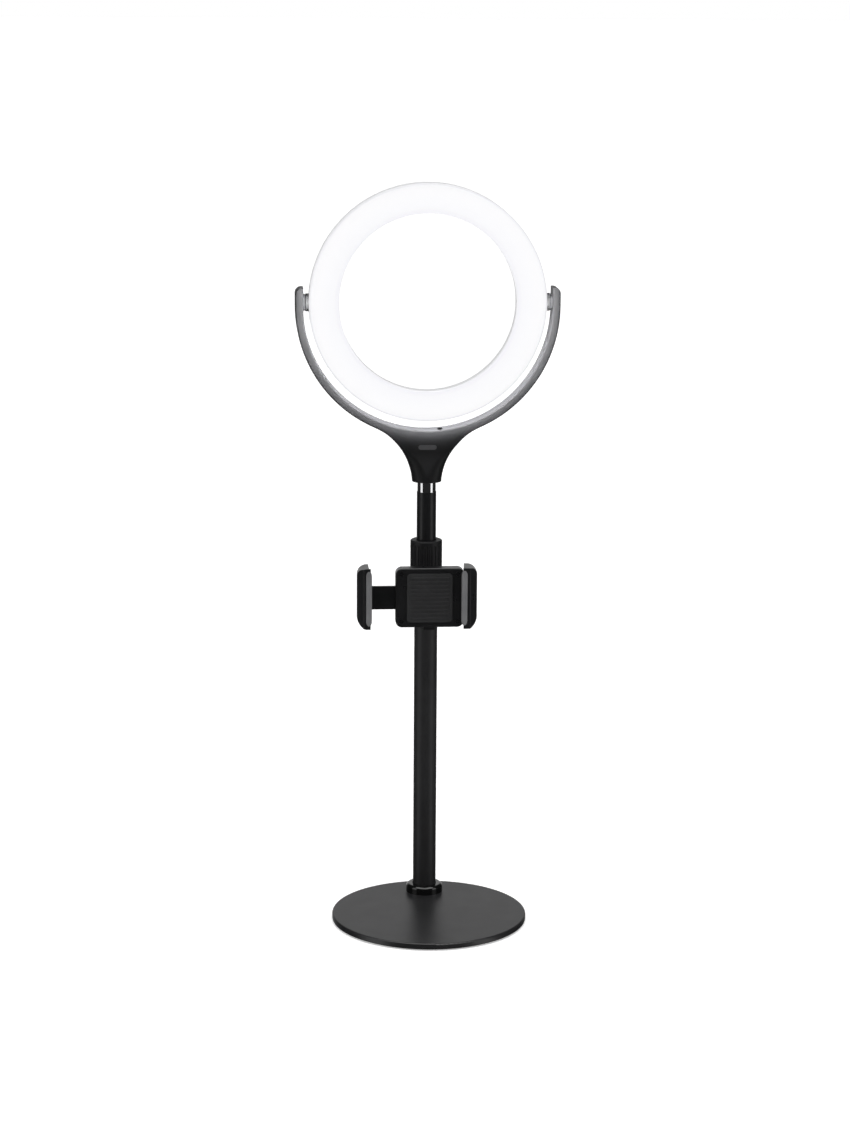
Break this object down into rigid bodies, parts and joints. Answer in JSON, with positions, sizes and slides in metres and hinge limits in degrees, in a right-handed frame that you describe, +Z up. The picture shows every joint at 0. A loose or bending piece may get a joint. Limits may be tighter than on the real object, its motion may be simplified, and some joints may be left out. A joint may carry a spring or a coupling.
{
  "type": "desktop ring light with phone holder",
  "caption": "Desktop ring light: round weighted base, telescopic pole, swivelling yoke with a tilting ring of LEDs behind a diffuser, and a clamp-on phone holder.",
  "frame": {"origin": "centre of the underside of the round base, on the surface it stands on", "axes": "+Z up along the pole, -Y towards the person the light shines on, +X to that side's right as seen from the front"},
  "size_m": [0.2016, 0.1544, 0.5646],
  "materials": {
    "base_paint": "satin black powder coat",
    "pole_paint": "satin black paint",
    "tube_paint": "satin black paint",
    "spindle_chrome": "polished",
    "collar_gloss": "gloss black",
    "foam_pad": "matt black foam rubber",
    "black_plastic": "fine moulded texture",
    "yoke_plastic": "semi-gloss black",
    "holder_plastic": "satin black",
    "grip_rubber": "matt grey rubber",
    "back_rubber": "matt dark rubber",
    "natural_plastic": "natural acetal",
    "steel": "bright",
    "black_steel": "black oxide",
    "emblem_print": "dark grey print",
    "board_green": "green solder mask",
    "board_white": "white solder mask",
    "switch_black": "black",
    "lead_white": "white insulation",
    "diffuser_opal": "opal",
    "reflector_white": "matt white",
    "ring_white": "white",
    "led_warm": "yellow phosphor",
    "led_cool": "pale phosphor"
  },
  "bodies": {
    "base": {"base_plate": "base_paint", "base_pad": "foam_pad", "base_screw": "steel", "base_collar": "collar_gloss", "tube_foot_plug": "black_plastic", "lower_tube": "pole_paint", "tube_end_bush": "black_plastic", "lock_collet": "natural_plastic"},
    "lock_collar": {"lock_collar": "black_plastic"},
    "upper_pole": {"upper_tube": "tube_paint", "slide_bush": "natural_plastic", "spindle": "spindle_chrome", "thrust_washer": "natural_plastic", "spindle_clip": "steel"},
    "yoke": {"neck_bush": "natural_plastic", "neck_spring_washer": "steel", "yoke_front_shell": "yoke_plastic", "yoke_rear_shell": "yoke_plastic", "yoke_screws": "black_steel", "neck_emblem": "emblem_print", "control_board": "board_green", "tact_switches": "switch_black", "usb_inlet": "steel", "arm_lead": "lead_white", "friction_washers": "black_plastic", "rest_bumper": "back_rubber"},
    "power_button": {"power_button": "black_plastic"},
    "brighter_button": {"brighter_button": "black_plastic"},
    "dimmer_button": {"dimmer_button": "black_plastic"},
    "ring_head": {"pivot_pins": "steel", "pivot_hubs": "yoke_plastic", "pivot_nuts": "steel", "ring_rear_cover": "ring_white", "diffuser": "diffuser_opal", "reflector": "reflector_white", "led_board": "board_white", "warm_leds": "led_warm", "cool_leds": "led_cool", "ring_screws": "black_steel"},
    "clamp_sleeve": {"clamp_sleeve": "natural_plastic"},
    "holder_clamp": {"clamp_body": "holder_plastic", "clamp_nut": "steel", "tilt_nut": "steel"},
    "clamp_knob": {"clamp_knob": "black_plastic", "clamp_screw": "steel"},
    "tilt_knob": {"tilt_knob": "black_plastic", "tilt_bolt": "steel"},
    "tilt_knuckle": {"tilt_knuckle": "holder_plastic", "swivel_screw": "steel"},
    "phone_grip": {"holder_housing": "holder_plastic", "holder_front_cover": "holder_plastic", "holder_screws": "black_steel", "back_pad": "back_rubber", "fixed_jaw_pad": "grip_rubber", "brake_spring": "steel"},
    "moving_jaw": {"moving_jaw": "holder_plastic", "jaw_slider": "black_steel", "moving_jaw_pad": "grip_rubber"},
    "release_button": {"release_button": "black_plastic"}
  },
  "joints": [
    {"name": "lock_twist", "type": "hinge", "parent": "base", "child": "lock_collar", "pos_m": [0, 0.051, 0.28], "axis": [0, 0, 1], "range_deg": [0, 40]},
    {"name": "pole_extend", "type": "slide", "parent": "base", "child": "upper_pole", "axis": [0, 0, 1], "range_m": [-0.034, 0.1]},
    {"name": "head_swivel", "type": "hinge", "parent": "upper_pole", "child": "yoke", "pos_m": [0, 0.051, 0.345], "axis": [0, 0, 1], "range_deg": [-170, 170]},
    {"name": "ring_tilt", "type": "hinge", "parent": "yoke", "child": "ring_head", "pos_m": [0, 0.051, 0.474], "axis": [1, 0, 0], "range_deg": [-90, 90]},
    {"name": "power_press", "type": "slide", "parent": "yoke", "child": "power_button", "axis": [0, -1, 0], "range_m": [0, 0.0004], "stiffness_N_per_m": 1500, "springref_m": -0.0004},
    {"name": "brighter_press", "type": "slide", "parent": "yoke", "child": "brighter_button", "axis": [0, -1, 0], "range_m": [0, 0.0004], "stiffness_N_per_m": 1500, "springref_m": -0.0004},
    {"name": "dimmer_press", "type": "slide", "parent": "yoke", "child": "dimmer_button", "axis": [0, -1, 0], "range_m": [0, 0.0004], "stiffness_N_per_m": 1500, "springref_m": -0.0004},
    {"name": "holder_height", "type": "slide", "parent": "base", "child": "clamp_sleeve", "axis": [0, 0, 1], "range_m": [-0.14, 0.003]},
    {"name": "holder_turn", "type": "hinge", "parent": "clamp_sleeve", "child": "holder_clamp", "pos_m": [0, 0.051, 0.2527], "axis": [0, 0, 1], "range_deg": [-175, 175]},
    {"name": "clamp_knob_turn", "type": "hinge", "parent": "holder_clamp", "child": "clamp_knob", "pos_m": [0, 0.0715, 0.2527], "axis": [1, 0, 0], "continuous": true},
    {"name": "tilt_knob_turn", "type": "hinge", "parent": "holder_clamp", "child": "tilt_knob", "pos_m": [0, 0.0305, 0.2527], "axis": [1, 0, 0], "continuous": true},
    {"name": "holder_tilt", "type": "hinge", "parent": "holder_clamp", "child": "tilt_knuckle", "pos_m": [0, 0.0305, 0.2527], "axis": [1, 0, 0], "range_deg": [-25, 25]},
    {"name": "holder_swivel", "type": "hinge", "parent": "tilt_knuckle", "child": "phone_grip", "pos_m": [0, 0.021, 0.2527], "axis": [0, 1, 0], "range_deg": [-90, 90]},
    {"name": "jaw_slide", "type": "slide", "parent": "phone_grip", "child": "moving_jaw", "axis": [-1, 0, 0], "range_m": [-0.016, 0.017]},
    {"name": "release_press", "type": "slide", "parent": "phone_grip", "child": "release_button", "axis": [0, 0, 1], "range_m": [0, 0.002], "stiffness_N_per_m": 300, "springref_m": -0.004, "deforming": ["brake_spring"]}
  ]
}
